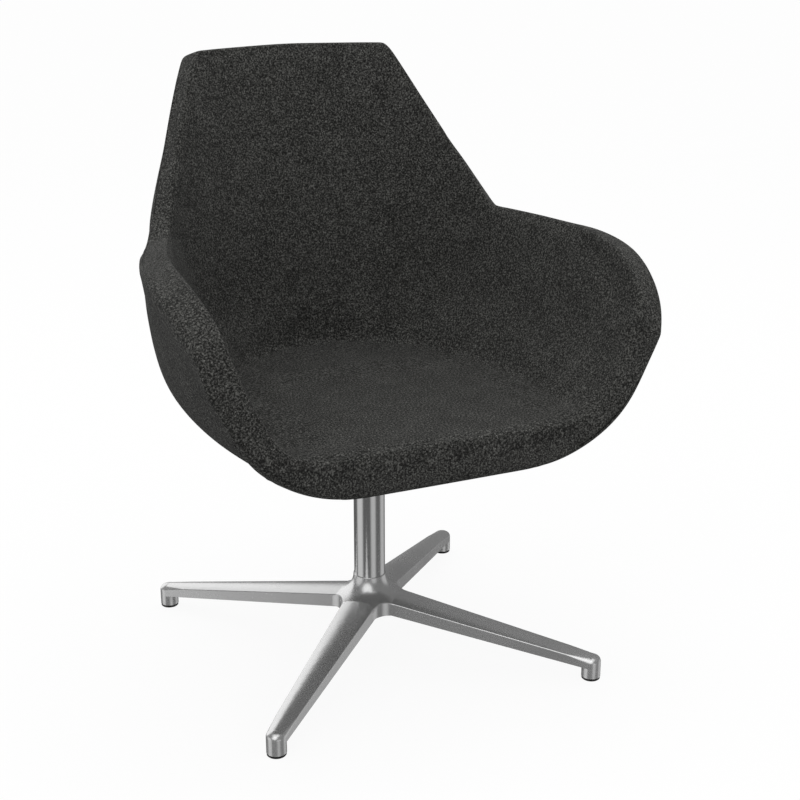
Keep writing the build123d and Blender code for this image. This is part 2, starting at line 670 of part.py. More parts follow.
for number, spot in enumerate(BOLT_SPOTS, 1):
    with BuildPart() as plate_screw:
        with BuildSketch(Plane.XY.offset(PLATE_BOTTOM_Z - SCREW_HEAD_H)):
            with Locations(spot):
                Circle(SCREW_HEAD_R)
                RegularPolygon(2.5, 6, mode=Mode.SUBTRACT)
        extrude(amount=SCREW_HEAD_H - 1.2)
        with BuildSketch(Plane.XY.offset(PLATE_BOTTOM_Z - 1.2)):
            with Locations(spot):
                Circle(SCREW_HEAD_R + 1.5)
        extrude(amount=1.2)
        with BuildSketch(BOLT_PLANE):
            with Locations(spot):
                Circle(SCREW_R)
        extrude(amount=TEE_SEAT_Z - PLATE_BOTTOM_Z - 1)
    plate_screw.part.label = f"plate_screw_{number}"
    export_step(plate_screw.part, f"parts/plate_screw_{number}.step")
    with BuildPart() as tee_nut:
        with BuildSketch(Plane.XY.offset(TEE_SEAT_Z)):
            with Locations(spot):
                Circle(TEE_FLANGE_R)
                Circle(SCREW_R + SEAT_FIT, mode=Mode.SUBTRACT)
        extrude(amount=TEE_FLANGE_H)
        with BuildSketch(Plane.XY.offset(TEE_SEAT_Z)):
            with Locations(spot):
                Circle(TEE_BARREL_R - SEAT_FIT)
                Circle(SCREW_R + SEAT_FIT, mode=Mode.SUBTRACT)
        extrude(amount=-8)
    tee_nut.part.label = f"tee_nut_{number}"
    export_step(tee_nut.part, f"parts/tee_nut_{number}.step")

# Moulded structural shell with the tee nut holes
shell_low, shell_high = layer_body(FOAM_END + LAYER_GAP, SHELL_END, CORE_INSET)
with BuildPart() as structural_shell:
    add(shell_low)
    add(shell_high)
    with BuildSketch(BOLT_PLANE):
        with Locations(*BOLT_SPOTS):
            Circle(TEE_BARREL_R)
    extrude(amount=SEAT_DEPTH * 0.5 + PLATE_H, mode=Mode.SUBTRACT)
    with BuildSketch(Plane.XY.offset(TEE_SEAT_Z)):
        with Locations(*BOLT_SPOTS):
            Circle(TEE_FLANGE_R + 0.3)
    extrude(amount=4 * TEE_FLANGE_H, mode=Mode.SUBTRACT)
structural_shell.part.label = "structural_shell"
export_step(structural_shell.part, "parts/structural_shell.step")

# Thin outer padding and outer cover, pierced for the screws
pad_low, pad_high = layer_body(SHELL_END + LAYER_GAP, OUTER_COVER_START - LAYER_GAP, CORE_INSET)
with BuildPart() as outer_padding:
    add(pad_low)
    add(pad_high)
    with BuildSketch(BOLT_PLANE):
        with Locations(*BOLT_SPOTS):
            Circle(TEE_BARREL_R)
    extrude(amount=SEAT_DEPTH * 0.5 + PLATE_H, mode=Mode.SUBTRACT)
outer_padding.part.label = "outer_padding"
export_step(outer_padding.part, "parts/outer_padding.step")

outer_low, outer_high = layer_body(OUTER_COVER_START, 1, CORE_INSET)
with BuildPart() as outer_cover:
    add(outer_low)
    add(outer_high)
    with BuildSketch(BOLT_PLANE):
        with Locations(*BOLT_SPOTS):
            Circle(SCREW_R + 0.3)
    extrude(amount=SEAT_DEPTH * 0.5 + PLATE_H, mode=Mode.SUBTRACT)
    with BuildSketch(BOLT_PLANE):
        RectangleRounded(PLATE_SIZE + 0.6, PLATE_SIZE + 0.6, PLATE_CORNER_R + 0.3)
    extrude(amount=PLATE_H, mode=Mode.SUBTRACT)
outer_cover.part.label = "outer_cover"
export_step(outer_cover.part, "parts/outer_cover.step")

# Foam pads on the inner side of the shell: seat, two arms and back
foam_low, foam_high = layer_body(INNER_COVER + LAYER_GAP, FOAM_END, CORE_INSET)
with BuildPart() as seat_foam:
    add(foam_low)
    split(bisect_by=CREASE, keep=Keep.TOP)
    split(bisect_by=Plane.YZ.offset(PAD_SPLIT_X), keep=Keep.BOTTOM)
    split(bisect_by=Plane.YZ.offset(-PAD_SPLIT_X), keep=Keep.TOP)
    with BuildSketch(Plane.XY.offset(SHELL_TOP_Z - 2)):
        with Locations(*BOLT_SPOTS):
            Circle(TEE_FLANGE_R + 0.5)
    extrude(amount=TEE_FLANGE_H + 2.5, mode=Mode.SUBTRACT)
seat_foam.part.label = "seat_foam"
export_step(seat_foam.part, "parts/seat_foam.step")

with BuildPart() as arm_foam_right:
    add(foam_low)
    split(bisect_by=CREASE, keep=Keep.TOP)
    split(bisect_by=Plane.YZ.offset(PAD_SPLIT_X), keep=Keep.TOP)
arm_foam_right.part.label = "arm_foam_right"
export_step(arm_foam_right.part, "parts/arm_foam_right.step")

with BuildPart() as arm_foam_left:
    add(foam_low)
    split(bisect_by=CREASE, keep=Keep.TOP)
    split(bisect_by=Plane.YZ.offset(-PAD_SPLIT_X), keep=Keep.BOTTOM)
arm_foam_left.part.label = "arm_foam_left"
export_step(arm_foam_left.part, "parts/arm_foam_left.step")

with BuildPart() as back_foam:
    add(foam_low)
    split(bisect_by=CREASE, keep=Keep.BOTTOM)
    add(foam_high)
back_foam.part.label = "back_foam"
export_step(back_foam.part, "parts/back_foam.step")

# Inner covers of seat with arms and of the back
cover_low, cover_high = layer_body(0, INNER_COVER, CORE_INSET)
with BuildPart() as seat_cover:
    add(cover_low)
    split(bisect_by=CREASE, keep=Keep.TOP)
seat_cover.part.label = "seat_cover"
export_step(seat_cover.part, "parts/seat_cover.step")

with BuildPart() as back_cover:
    add(cover_low)
    split(bisect_by=CREASE, keep=Keep.BOTTOM)
    add(cover_high)
back_cover.part.label = "back_cover"
export_step(back_cover.part, "parts/back_cover.step")

# Rim band sewn all round between inner and outer covers
full_low, full_high = layer_body(0, 1, 0)
past_low, past_high = layer_body(-PAST, 1 + PAST, BAND_CLOTH)
with BuildPart() as edge_band:
    add(full_low)
    add(full_high)
    add(past_low, mode=Mode.SUBTRACT)
    add(past_high, mode=Mode.SUBTRACT)
edge_band.part.label = "edge_band"
export_step(edge_band.part, "parts/edge_band.step")
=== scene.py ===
import logging
import math
from dataclasses import dataclass, field
from enum import Enum
from typing import Any

import bmesh
import bpy
import numpy as np
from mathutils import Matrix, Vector
from mathutils.bvhtree import BVHTree


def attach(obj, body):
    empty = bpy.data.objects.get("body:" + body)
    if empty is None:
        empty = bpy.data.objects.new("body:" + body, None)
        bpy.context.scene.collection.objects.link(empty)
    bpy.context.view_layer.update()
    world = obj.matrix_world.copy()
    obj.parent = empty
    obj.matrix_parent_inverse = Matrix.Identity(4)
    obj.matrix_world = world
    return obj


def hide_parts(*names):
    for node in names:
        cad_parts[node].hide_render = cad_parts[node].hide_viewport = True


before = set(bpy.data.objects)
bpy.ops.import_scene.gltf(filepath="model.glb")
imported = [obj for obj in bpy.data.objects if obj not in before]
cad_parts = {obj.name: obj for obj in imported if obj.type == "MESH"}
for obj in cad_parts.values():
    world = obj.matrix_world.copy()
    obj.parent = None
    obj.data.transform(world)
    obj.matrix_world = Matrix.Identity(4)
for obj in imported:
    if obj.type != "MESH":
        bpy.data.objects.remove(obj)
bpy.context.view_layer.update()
LOG = logging.getLogger("tub_chair")

Points = np.ndarray
Colour = tuple[float, float, float]
Span = tuple[float, float]

WHITE: Colour = (1.0, 1.0, 1.0)
TINY = 1e-6
WELD = 2e-5


class Body(Enum):
    """The chair's two rigid bodies."""

    BASE = "base"
    SEAT = "seat"


class Panel(Enum):
    """The cloth panels of the tub: each piece's name and the rigid pieces that it stands for."""

    INNER = (
        "inner_upholstery",
        ("seat_cover", "back_cover", "seat_foam", "arm_foam_left", "arm_foam_right", "back_foam"),
    )
    BAND = ("rim_band", ("edge_band",))
    OUTER = ("outer_upholstery", ("outer_cover", "outer_padding"))


INNER_COVERS = ("seat_cover", "back_cover")
OUTER_COVERS = ("outer_cover",)


class Wire:
    """A shader socket that can be used in Python sums."""

    def __init__(self, recipe: "Recipe", socket: bpy.types.NodeSocket) -> None:
        """Keep the socket and the recipe that it belongs to."""
        self.recipe = recipe
        self.socket = socket

    def sum(self, operation: str, first: Any, second: Any) -> "Wire":
        """Add one Math node.

        Args:
            operation: the Math node's operation.
            first: first value or wire.
            second: second value or wire.

        Returns:
            The node's result.
        """
        return self.recipe.node("ShaderNodeMath", {"operation": operation}, {0: first, 1: second})

    def __add__(self, other: Any) -> "Wire":
        """Wire plus value."""
        return self.sum("ADD", self, other)

    __radd__ = __add__

    def __sub__(self, other: Any) -> "Wire":
        """Wire minus value."""
        return self.sum("SUBTRACT", self, other)

    def __mul__(self, other: Any) -> "Wire":
        """Wire times value."""
        return self.sum("MULTIPLY", self, other)

    __rmul__ = __mul__

    def __gt__(self, other: Any) -> "Wire":
        """One where the wire is over the value, else nought."""
        return self.sum("GREATER_THAN", self, other)

    def __lt__(self, other: Any) -> "Wire":
        """One where the wire is under the value, else nought."""
        return self.sum("LESS_THAN", self, other)


class Recipe:
    """Node tree of one material or of the world."""

    def __init__(self, tree: bpy.types.NodeTree, owner: bpy.types.Material | None = None) -> None:
        """Start from an empty tree.

        Args:
            tree: the nodes.
            owner: the material that the nodes belong to, if any.
        """
        self.tree = tree
        self.owner = owner
        self.tree.nodes.clear()

    @classmethod
    def material(cls, name: str) -> "Recipe":
        """Make a new material and its empty recipe."""
        made = bpy.data.materials.new(name)
        made.use_nodes = True
        return cls(made.node_tree, made)

    def node(
        self,
        kind: str,
        settings: dict[str, Any] | None = None,
        inputs: dict[Any, Any] | None = None,
        output: Any = 0,
    ) -> Wire:
        """Add a node.

        Args:
            kind: the node's type.
            settings: its properties; "stops" holds a ramp's (place, colour) pairs.
            inputs: socket name or number to value or wire.
            output: the socket to hand back.

        Returns:
            The chosen output.
        """
        made = self.tree.nodes.new(kind)
        for key, value in (settings or {}).items():
            if key == "stops":
                while len(made.color_ramp.elements) < len(value):
                    made.color_ramp.elements.new(1.0)
                for element, (place, colour) in zip(made.color_ramp.elements, value):
                    element.position = place
                    element.color = (*colour, 1.0)
            else:
                setattr(made, key, value)
        for key, value in (inputs or {}).items():
            if isinstance(value, Wire):
                self.tree.links.new(value.socket, made.inputs[key])
            else:
                made.inputs[key].default_value = value
        return Wire(self, made.outputs[output])

    def place(self, scale: Colour = WHITE) -> Wire:
        """Object coordinates in metres, scaled apart on each axis where that is asked for."""
        plain = self.node("ShaderNodeTexCoord", output="Object")
        return self.node("ShaderNodeMapping", inputs={"Vector": plain, "Scale": scale})

    def noise(self, place: Wire, scale: float, detail: float, roughness: float) -> Wire:
        """Soft noise with features of about 1 / scale metres."""
        return self.node(
            "ShaderNodeTexNoise",
            inputs={"Vector": place, "Scale": scale, "Detail": detail, "Roughness": roughness},
        )

    def bump(self, height: Wire, strength: float, distance: float) -> Wire:
        """Surface relief from a height."""
        return self.node(
            "ShaderNodeBump", inputs={"Height": height, "Strength": strength, "Distance": distance}
        )

    def ramp(self, value: Wire, stops: list[tuple[float, Colour]]) -> Wire:
        """Colour ramp over a value."""
        return self.node("ShaderNodeValToRGB", {"stops": stops}, {"Fac": value})

    def ray(self, kind: str) -> Wire:
        """One for the rays of a kind, else nought."""
        return self.node("ShaderNodeLightPath", output=kind)

    def mix(self, share: Wire, first: Wire, second: Wire) -> Wire:
        """Two shaders, the second by its share."""
        return self.node("ShaderNodeMixShader", inputs={0: share, 1: first, 2: second})

    def glow(self, kind: str, colour: Any, strength: float) -> Wire:
        """Emission or Background shader."""
        return self.node(f"ShaderNode{kind}", inputs={"Color": colour, "Strength": strength})

    def output(self, kind: str, shader: Wire) -> None:
        """Add the output node of a tree."""
        made = self.tree.nodes.new(f"ShaderNodeOutput{kind}")
        self.tree.links.new(shader.socket, made.inputs["Surface"])

    def surface(self, **inputs: Any) -> bpy.types.Material:
        """Finish a material with one Principled shader.

        Args:
            inputs: the shader's values and wires, with "_" for a space in a socket's name.

        Returns:
            The material.
        """
        named = {key.replace("_", " "): value for key, value in inputs.items()}
        self.output("Material", self.node("ShaderNodeBsdfPrincipled", inputs=named))
        return self.owner


def grey(value: float, tint: Colour = WHITE) -> Colour:
    """A grey, or a grey that leans to a tint."""
    return value * tint[0], value * tint[1], value * tint[2]


@dataclass(frozen=True)
class HeatherCloth:
    """Charcoal wool felt with light and dark fibres.

    The grain, fibre, cloud and fleck are features per metre. The greys are the wool's colours from its dark
    to its light fibres, each with its place in the noise.
    """

    name: str = "heather_cloth"
    grain: float = 430.0
    fibre: float = 1200.0
    cloud: float = 22.0
    fleck: float = 210.0
    level: float = 1.07
    tint: Colour = (1.0, 1.0, 0.94)
    greys: tuple[Span, ...] = ((0.39, 0.008), (0.46, 0.020), (0.51, 0.038), (0.57, 0.082), (0.65, 0.140))
    wool_mix: Colour = (0.66, 0.28, 0.06)
    fleck_grey: float = 0.19
    fleck_size: float = 0.18
    fleck_patch: float = 0.55
    fleck_rarity: float = 0.56
    fleck_share: float = 0.75
    nap_mix: Span = (0.65, 0.35)
    nap_strength: float = 0.6
    nap_height: float = 0.0016
    roughness: float = 0.95
    specular: float = 0.12
    sheen: float = 0.03
    sheen_roughness: float = 0.6

    def tone(self, value: float) -> Colour:
        """One of the wool's greys."""
        return grey(value * self.level, self.tint)

    def material(self) -> bpy.types.Material:
        """Build the cloth's material."""
        r = Recipe.material(self.name)
        place = r.place()
        grain = r.noise(place, self.grain, 2.0, 0.6)
        fibre = r.noise(place, self.fibre, 2.0, 0.6)
        cloud = r.noise(place, self.cloud, 2.0, 0.5)
        wool = grain * self.wool_mix[0] + fibre * self.wool_mix[1] + cloud * self.wool_mix[2]
        colour = r.ramp(wool, [(spot, self.tone(value)) for spot, value in self.greys])
        cells = r.node(
            "ShaderNodeTexVoronoi",
            {"feature": "F1"},
            {"Vector": place, "Scale": self.fleck},
            output="Distance",
        )
        patches = r.noise(place, self.fleck * self.fleck_patch, 1.0, 0.5)
        spots = (cells < self.fleck_size) * (patches > self.fleck_rarity)
        flecked = r.node(
            "ShaderNodeMix",
            {"data_type": "RGBA"},
            {0: spots * self.fleck_share, 6: colour, 7: (*self.tone(self.fleck_grey), 1.0)},
            output=2,
        )
        nap = grain * self.nap_mix[0] + fibre * self.nap_mix[1]
        return r.surface(
            Base_Color=flecked,
            Roughness=self.roughness,
            Specular_IOR_Level=self.specular,
            Sheen_Weight=self.sheen,
            Sheen_Roughness=self.sheen_roughness,
            Normal=r.bump(nap, self.nap_strength, self.nap_height),
        )


@dataclass(frozen=True)
class SatinMetal:
    """Bare metal with a satin or drawn finish."""

    name: str
    tone: float
    roughness: float
    grain: float
    relief: float = 0.05
    metallic: float = 1.0
    scale: Colour = WHITE
    swing: float = 0.08
    smear: float = 0.04
    patch: float = 0.05
    depth: float = 0.0004

    def material(self) -> bpy.types.Material:
        """Build the metal's material."""
        r = Recipe.material(self.name)
        place = r.place(self.scale)
        grain = r.noise(place, self.grain, 3.0, 0.65)
        smear = r.noise(place, self.grain * self.smear, 2.0, 0.5)
        dark, light = (grey(self.tone * (1 + sign * self.patch)) for sign in (-1, 1))
        return r.surface(
            Base_Color=r.ramp(smear, [(0.3, dark), (0.7, light)]),
            Metallic=self.metallic,
            Roughness=(grain - 0.5) * self.swing + (smear - 0.5) * self.swing + self.roughness,
            Normal=r.bump(grain, self.relief, self.depth),
        )


@dataclass(frozen=True)
class Moulded:
    """Plain moulded, coated or cut material with a fine texture."""

    name: str
    light: Colour
    dark: Colour
    roughness: float
    grain: float = 900.0
    scale: Colour = WHITE
    relief: float = 0.15
    swing: float = 0.2
    patch: float = 0.06
    tone_mix: Span = (0.6, 0.4)
    depth: float = 0.0005

    def material(self) -> bpy.types.Material:
        """Build the material."""
        r = Recipe.material(self.name)
        place = r.place(self.scale)
        grain = r.noise(place, self.grain, 3.0, 0.6)
        patch = r.noise(place, self.grain * self.patch, 2.0, 0.5)
        tone = grain * self.tone_mix[0] + patch * self.tone_mix[1]
        return r.surface(
            Base_Color=r.ramp(tone, [(0.35, self.dark), (0.65, self.light)]),
            Roughness=(grain - 0.5) * self.swing + self.roughness,
            Normal=r.bump(grain, self.relief, self.depth),
        )


def only(obj: bpy.types.Object) -> None:
    """Make one object the only selected one, and active."""
    bpy.ops.object.select_all(action="DESELECT")
    obj.select_set(True)
    bpy.context.view_layer.objects.active = obj


def coords(obj: bpy.types.Object) -> Points:
    """Vertex places of a mesh object."""
    found = np.zeros(len(obj.data.vertices) * 3)
    obj.data.vertices.foreach_get("co", found)
    return found.reshape(-1, 3)


def set_coords(obj: bpy.types.Object, places: Points) -> None:
    """Write vertex places back to a mesh object."""
    obj.data.vertices.foreach_set("co", places.astype(np.float32).ravel())
    obj.data.update()


def apply(obj: bpy.types.Object, kind: str, **settings: Any) -> None:
    """Add a modifier, set it and apply it."""
    only(obj)
    made = obj.modifiers.new(kind.lower(), kind)
    for key, value in settings.items():
        setattr(made, key, value)
    bpy.ops.object.modifier_apply(modifier=made.name)


def relax(obj: bpy.types.Object, steps: int, group: str) -> None:
    """Smooth the points of one vertex group.

    Args:
        obj: the mesh object.
        steps: smoothing steps.
        group: the vertex group's name.
    """
    apply(obj, "SMOOTH", factor=0.5, iterations=steps, vertex_group=group)


def mark(obj: bpy.types.Object, name: str, where: Any) -> bpy.types.VertexGroup:
    """Put some points of an object in a new vertex group."""
    group = obj.vertex_groups.new(name=name)
    group.add([int(i) for i in where], 1.0, "REPLACE")
    return group


def ease(share: Points) -> Points:
    """Smooth step from nought to one."""
    share = np.clip(share, 0.0, 1.0)
    return share * share * (3 - 2 * share)


def fade(value: Points, span: Span) -> Points:
    """Smooth step from nought at a span's start to one at its end."""
    return ease((value - span[0]) / (span[1] - span[0]))


def nearness(places: Points, spot: Points, reach: float, core: float = 1.2) -> Points:
    """One close to a spot, easing to nought at the reach.

    Args:
        places: points to rate.
        spot: the spot.
        reach: distance at which nothing is left.
        core: over one, the middle stays at one for longer.

    Returns:
        One share for each point.
    """
    return ease(core - core * np.linalg.norm(places - spot, axis=1) / reach)


def walk(polyline: Points, count: int) -> Points:
    """Even points along a polyline.

    Args:
        polyline: the line's points.
        count: number of equal steps.

    Returns:
        count + 1 points, both ends included.
    """
    steps = np.linalg.norm(np.diff(polyline, axis=0), axis=1)
    along = np.concatenate(([0.0], np.cumsum(steps)))
    wanted = np.linspace(0.0, along[-1], count + 1)
    return np.stack([np.interp(wanted, along, polyline[:, k]) for k in range(3)], axis=1)


def solids(nodes: tuple[str, ...], weld: bool) -> bmesh.types.BMesh:
    """Meshes of some rigid pieces as one, with shared points welded where that is asked for."""
    mesh = bmesh.new()
    for name in nodes:
        mesh.from_mesh(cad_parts[name].data)
    if weld:
        bmesh.ops.remove_doubles(mesh, verts=mesh.verts, dist=WELD)
    return mesh


def tree(nodes: tuple[str, ...]) -> BVHTree:
    """Search tree over the faces of some rigid pieces."""
    mesh = solids(nodes, weld=False)
    found = BVHTree.FromBMesh(mesh)
    mesh.free()
    return found


@dataclass(frozen=True)
class RimMarks:
    """How the noses, the notches and the top corners are known on an edge of the rim band.

    A nose is the outer end of the flat front. A top corner is the furthest point along the lean, which is
    given by its parts outwards and upwards. A notch is the sharpest turn behind and above the given places.
    """

    front_flat: float = 0.0005
    lean: Span = (0.51, 0.86)
    fine_steps: int = 600
    turn_reach: int = 8
    notch_rise: float = 0.03
    notch_top: float = 0.70
    notch_behind: float = 0.04


@dataclass
class Rim:
    """One closed edge of the rim band, as four sides with the arm notches marked."""

    front: Points
    right: Points
    top: Points
    left: Points

    @classmethod
    def sort(cls, loop: Points, counts: tuple[int, int, int], marks: RimMarks) -> "Rim":
        """Cut a closed loop at the arm noses, the notches and the top corners.

        Args:
            loop: the loop's points in order.
            counts: steps across the front and top, along an arm, and up a back edge.
            marks: how those points are known.

        Returns:
            The four sides, evenly divided; sides run from front to top, front and top from left to right.
        """
        across = counts[0]
        ahead = loop[:, 1] < loop[:, 1].min() + marks.front_flat
        lean = marks.lean[0] * np.abs(loop[:, 0]) + marks.lean[1] * loop[:, 2]

        def best(score: Points, where: Points) -> int:
            return int(np.argmax(np.where(where, score, -np.inf)))

        start = best(-loop[:, 0], ahead)
        loop, ahead, lean = (np.roll(row, -start, axis=0) for row in (loop, ahead, lean))
        if best(loop[:, 0], ahead) > best(lean, loop[:, 0] > 0):
            loop, ahead, lean = (np.roll(row[::-1], 1, axis=0) for row in (loop, ahead, lean))
        nose = best(loop[:, 0], ahead)
        corner = best(lean, loop[:, 0] > 0)
        other = best(lean, loop[:, 0] < 0)
        right = cls.side(loop[nose:corner + 1], counts, marks)
        left = cls.side(np.concatenate((loop[other:], loop[:1]))[::-1], counts, marks)
        return cls(walk(loop[:nose + 1], across), right, walk(loop[corner:other + 1], across)[::-1], left)

    @staticmethod
    def side(line: Points, counts: tuple[int, int, int], marks: RimMarks) -> Points:
        """Divide one side from nose to top corner, with a point on the notch between arm and back."""
        _, arm, back = counts
        reach = marks.turn_reach
        fine = walk(line, marks.fine_steps)
        middle = fine[reach:-reach]
        ahead, behind = fine[2 * reach:] - middle, middle - fine[:-2 * reach]
        turn = (ahead * behind).sum(1) / np.linalg.norm(ahead, axis=1) / np.linalg.norm(behind, axis=1)
        _, y, z = middle.T
        near = (z > z.min() + marks.notch_rise) & (z < marks.notch_top) & (y > marks.notch_behind)
        notch = int(np.argmin(np.where(near, turn, np.inf))) + reach
        return np.concatenate((walk(fine[:notch + 1], arm), walk(fine[notch:], back)[1:]))

    def closed(self) -> Points:
        """All four sides as one ring, from the left nose along the front."""
        sides = (self.front, self.right, self.top[::-1], self.left[::-1])
        return np.concatenate([side[:-1] for side in sides])

    def round_noses(self, reach: float, steps: int) -> "Rim":
        """Ease the turn at both noses, as seen from the front.

        Args:
            reach: distance from a nose within which points move.
            steps: smoothing steps.

        Returns:
            The same rim with rounder noses.
        """
        ring = self.closed()
        share = np.maximum(*(nearness(ring, nose, reach) for nose in (self.front[0], self.front[-1])))
        share = 0.5 * share[:, None] * (1.0, 0.0, 1.0)
        for _ in range(steps):
            ring = ring + share * ((np.roll(ring, 1, axis=0) + np.roll(ring, -1, axis=0)) / 2 - ring)
        ring = np.concatenate((ring, ring[:1]))
        right, top, left = np.cumsum([len(row) - 1 for row in (self.front, self.right, self.top)])
        return Rim(ring[:right + 1], ring[right:top + 1], ring[top:left + 1][::-1], ring[left:][::-1])

    def patch(self) -> Points:
        """Smooth first surface spanned by the four sides, as rows from front to top."""
        u = np.linspace(0, 1, len(self.right))[:, None, None]
        v = np.linspace(0, 1, len(self.front))[None, :, None]
        sides = (1 - u) * self.front[None] + u * self.top[None]
        sides = sides + (1 - v) * self.left[:, None] + v * self.right[:, None]
        ends = (1 - u) * ((1 - v) * self.front[0] + v * self.front[-1])
        return sides - ends - u * ((1 - v) * self.top[0] + v * self.top[-1])


@dataclass(frozen=True)
class Tuck:
    """Oval line along which the seat is tucked in under the back and arms.

    The points round the line are moved towards or away from a centre that lies over the seat, one reach
    inside the line and one reach above it, onto a flat seat and a straight wall. The wall leaves the line at
    seat height and meets the padding again one rise above it.
    """

    centre_y: float = -0.150
    half_width: float = 0.210
    half_depth: float = 0.362
    fullness: float = 2.2
    seat_z: float = 0.4015
    rise: float = 0.095
    headroom: float = 0.04
    narrowest: float = 0.016
    reach: float = 0.090
    round: float = 0.02
    snap: float = 0.026
    late: float = 0.05
    fade: Span = (-0.252, -0.185)
    least: float = 1e-4
    far_off: float = 50.0

    def press(self, places: Points, surface: BVHTree) -> Points:
        """Flatten the seat up to the line and let the wall rise straight from it.

        Args:
            places: points of the inner panel.
            surface: the panel as it lies now.

        Returns:
            The points' new places.
        """
        x, y, z = places.T
        power = self.fullness
        ahead = np.maximum(y - self.centre_y, 0.0)
        out = (np.abs(x / self.half_width) ** power + (ahead / self.half_depth) ** power) ** (1 / power)
        out = np.maximum(out, TINY)
        line_x, line_y = x / out, np.where(ahead > 0, self.centre_y + ahead / out, y)
        gap = np.hypot(x - line_x, y - line_y) * np.sign(out - 1)
        top = self.seat_z + self.rise
        near = np.nonzero((gap > -self.reach) & (z < top + self.headroom) & (y > self.fade[0]))[0]
        way = np.stack((line_x[near], np.maximum(line_y[near] - self.centre_y, 0.0), 0 * near), axis=1)
        way = way / np.linalg.norm(way, axis=1, keepdims=True)
        width = np.zeros(len(near))
        for row, i in enumerate(near):
            start = Vector((line_x[i], line_y[i], top)) - Vector(way[row]) * self.reach
            distance = surface.ray_cast(start, Vector(way[row]))[3]
            width[row] = max((distance or 2 * self.reach) - self.reach, self.narrowest)
        gap, level = gap[near], z[near] - self.seat_z
        far = np.hypot(gap + self.reach, level - self.reach)
        angle = np.arctan2(level - self.reach, gap + self.reach)
        corner = -math.pi / 4
        aim = np.where(np.abs(angle - corner) < self.snap, corner, angle)
        over, drop = np.maximum(far * np.cos(aim), self.least), far * np.sin(aim)
        fall = drop / over
        to_seat = np.where(drop < -self.least, -self.reach / np.minimum(drop, -self.least), self.far_off)
        along = self.reach * (1 + fall) / (self.rise - width * fall)
        to_wall = (along * width + self.reach) / over
        hit = 0.5 * (to_seat + to_wall - np.sqrt((to_seat - to_wall) ** 2 + 4 * self.round ** 2))
        share = (1 - ease(level / self.rise - self.late)) * ease(2 + 2 * gap / self.reach)
        share = share * fade(y[near], self.fade)
        new = places.copy()
        new[near] = places[near] + way * (share * (hit * over - self.reach - gap))[:, None]
        new[near, 2] = z[near] + share * (hit * drop + self.reach - level)
        return new


@dataclass(frozen=True)
class Filling:
    """Soft filling that presses the cloth out, as a short cloth simulation with capped movement."""

    pressure: float = 4.0
    swell: float = 0.0025
    quality: int = 4
    mass: float = 0.25
    stretch: float = 20.0
    bending: float = 2.0
    frames: int = 16
    relax_steps: int = 6

    def press(self, tub: bpy.types.Object, held: set[int]) -> None:
        """Press the cloth out.

        Args:
            tub: the cloth.
            held: points that stay where they are.
        """
        rest = coords(tub)
        pins = mark(tub, "held", sorted(held))
        only(tub)
        cloth = tub.modifiers.new("filling", "CLOTH")
        cloth.settings.quality = self.quality
        cloth.settings.mass = self.mass
        cloth.settings.tension_stiffness = self.stretch
        cloth.settings.compression_stiffness = self.stretch
        cloth.settings.bending_stiffness = self.bending
        cloth.settings.use_pressure = True
        cloth.settings.uniform_pressure_force = self.pressure
        cloth.settings.effector_weights.gravity = 0.0
        cloth.settings.vertex_group_mass = pins.name
        cloth.point_cache.frame_start = 1
        cloth.point_cache.frame_end = self.frames
        for step in range(1, self.frames + 1):
            bpy.context.scene.frame_set(step)
        bpy.ops.object.modifier_apply(modifier=cloth.name)
        bpy.context.scene.frame_set(1)
        moved = coords(tub) - rest
        size = np.linalg.norm(moved, axis=1, keepdims=True)
        LOG.info("filling moved the cloth by up to %.1f mm", size.max() * 1000)
        set_coords(tub, rest + moved * np.minimum(1.0, self.swell / np.maximum(size, TINY)))
        mark(tub, "free", (i for i in range(len(rest)) if i not in held))
        relax(tub, self.relax_steps, "free")


